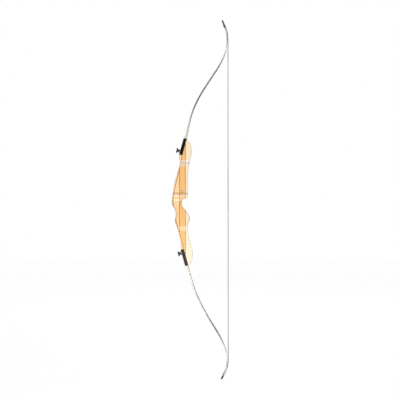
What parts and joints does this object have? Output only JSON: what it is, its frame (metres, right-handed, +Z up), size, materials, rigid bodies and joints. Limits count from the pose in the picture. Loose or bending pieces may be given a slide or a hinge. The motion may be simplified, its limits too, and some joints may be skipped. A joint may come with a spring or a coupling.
{
  "type": "recurve bow",
  "caption": "Strung take-down recurve bow: laminated wooden riser with arrow shelf, bolted recurved limbs with black butt sleeves, hand knobs and a served string.",
  "frame": {"origin": "the throat of the grip, the deepest point of its belly side, on the bow's centre plane", "axes": "+Z up along the bow, +X towards the archer and the string, +Y towards the archer's right, so the sight window opens towards -Y"},
  "size_m": [0.2555, 0.044, 1.6169],
  "materials": {
    "amber_wood": "satin lacquer",
    "pale_wood": "satin lacquer",
    "cream_wood": "satin lacquer",
    "dark_veneer": "satin lacquer",
    "limb_maple": "satin lacquer",
    "glass_facing": "gloss",
    "black_plastic": "satin",
    "brass": "machined",
    "steel": "zinc plated",
    "string_fibre": "waxed",
    "serving_thread": "wound thread"
  },
  "bodies": {
    "riser": {"riser_core": "amber_wood", "upper_belly_block": "cream_wood", "lower_belly_block": "cream_wood", "upper_belly_veneer": "dark_veneer", "lower_belly_veneer": "dark_veneer", "back_block": "pale_wood", "back_veneer": "dark_veneer", "upper_curved_veneer": "dark_veneer", "lower_curved_veneer": "dark_veneer", "upper_back_strip": "pale_wood", "lower_back_strip": "pale_wood", "plunger_bushing": "brass", "stabilizer_bushing": "brass", "sight_bushings": "brass", "upper_bolt_insert": "brass", "upper_alignment_pin": "steel", "upper_butt_core": "limb_maple", "upper_butt_belly_glass": "glass_facing", "upper_butt_back_glass": "glass_facing", "upper_butt_wedge": "limb_maple", "upper_butt_sleeve": "black_plastic", "lower_bolt_insert": "brass", "lower_alignment_pin": "steel", "lower_butt_core": "limb_maple", "lower_butt_belly_glass": "glass_facing", "lower_butt_back_glass": "glass_facing", "lower_butt_wedge": "limb_maple", "lower_butt_sleeve": "black_plastic"},
    "upper_limb": {"upper_limb_core": "limb_maple", "upper_limb_belly_glass": "glass_facing", "upper_limb_back_glass": "glass_facing", "upper_tip_overlay": "black_plastic", "upper_string_eye": "string_fibre"},
    "upper_string_half": {"upper_string": "string_fibre", "upper_string_legs": "string_fibre", "upper_end_serving": "serving_thread", "upper_centre_serving": "serving_thread"},
    "upper_bolt_washer": {"upper_washer": "steel"},
    "upper_bolt": {"upper_knob": "black_plastic", "upper_stud": "steel"},
    "lower_limb": {"lower_limb_core": "limb_maple", "lower_limb_belly_glass": "glass_facing", "lower_limb_back_glass": "glass_facing", "lower_tip_overlay": "black_plastic", "lower_string_eye": "string_fibre"},
    "lower_string_half": {"lower_string": "string_fibre", "lower_string_legs": "string_fibre", "lower_end_serving": "serving_thread", "lower_centre_serving": "serving_thread"},
    "lower_bolt_washer": {"lower_washer": "steel"},
    "lower_bolt": {"lower_knob": "black_plastic", "lower_stud": "steel"}
  },
  "joints": [
    {"name": "upper_limb_flex", "type": "hinge", "parent": "riser", "child": "upper_limb", "pos_m": [0.05237, 0, 0.41527], "axis": [0, 1, 0], "range_deg": [0, 21.8], "stiffness_Nm_per_rad": 77, "springref_deg": -20.86},
    {"name": "upper_string_swing", "type": "hinge", "parent": "upper_limb", "child": "upper_string_half", "pos_m": [0.19595, 0, 0.80221], "axis": [0, -1, 0], "range_deg": [0, 47.88], "deforming": ["upper_string", "upper_string_legs", "upper_end_serving", "upper_centre_serving"]},
    {"name": "upper_bolt_lift", "type": "slide", "parent": "riser", "child": "upper_bolt_washer", "axis": [-0.9641, 0, 0.2656], "range_m": [0, 0.0135]},
    {"name": "upper_bolt_turn", "type": "hinge", "parent": "upper_bolt_washer", "child": "upper_bolt", "pos_m": [0.00625, 0, 0.23179], "axis": [-0.9641, 0, 0.2656], "range_deg": [0, 3889]},
    {"name": "lower_limb_flex", "type": "hinge", "parent": "riser", "child": "lower_limb", "pos_m": [0.06593, 0, -0.40143], "axis": [0, -1, 0], "range_deg": [0, 22], "stiffness_Nm_per_rad": 77, "springref_deg": -20.86},
    {"name": "lower_string_swing", "type": "hinge", "parent": "lower_limb", "child": "lower_string_half", "pos_m": [0.19403, 0, -0.77004], "axis": [0, 1, 0], "range_deg": [0, 45.47], "deforming": ["lower_string", "lower_string_legs", "lower_end_serving", "lower_centre_serving"]},
    {"name": "lower_bolt_lift", "type": "slide", "parent": "riser", "child": "lower_bolt_washer", "axis": [-0.9641, 0, -0.2656], "range_m": [0, 0.0135]},
    {"name": "lower_bolt_turn", "type": "hinge", "parent": "lower_bolt_washer", "child": "lower_bolt", "pos_m": [0.01315, 0, -0.21989], "axis": [-0.9641, 0, -0.2656], "range_deg": [0, 3889]}
  ],
  "couplings": [
    {"joint": "upper_bolt_turn", "follows": "upper_bolt_lift", "rad_per_m": 5026.5},
    {"joint": "lower_bolt_turn", "follows": "lower_bolt_lift", "rad_per_m": 5026.5},
    {"joint": "lower_limb_flex", "follows": "upper_limb_flex", "ratio": 1.0069},
    {"joint": "upper_string_swing", "follows": "upper_limb_flex", "ratio": 2.1941},
    {"joint": "lower_string_swing", "follows": "upper_limb_flex", "ratio": 2.0835}
  ]
}
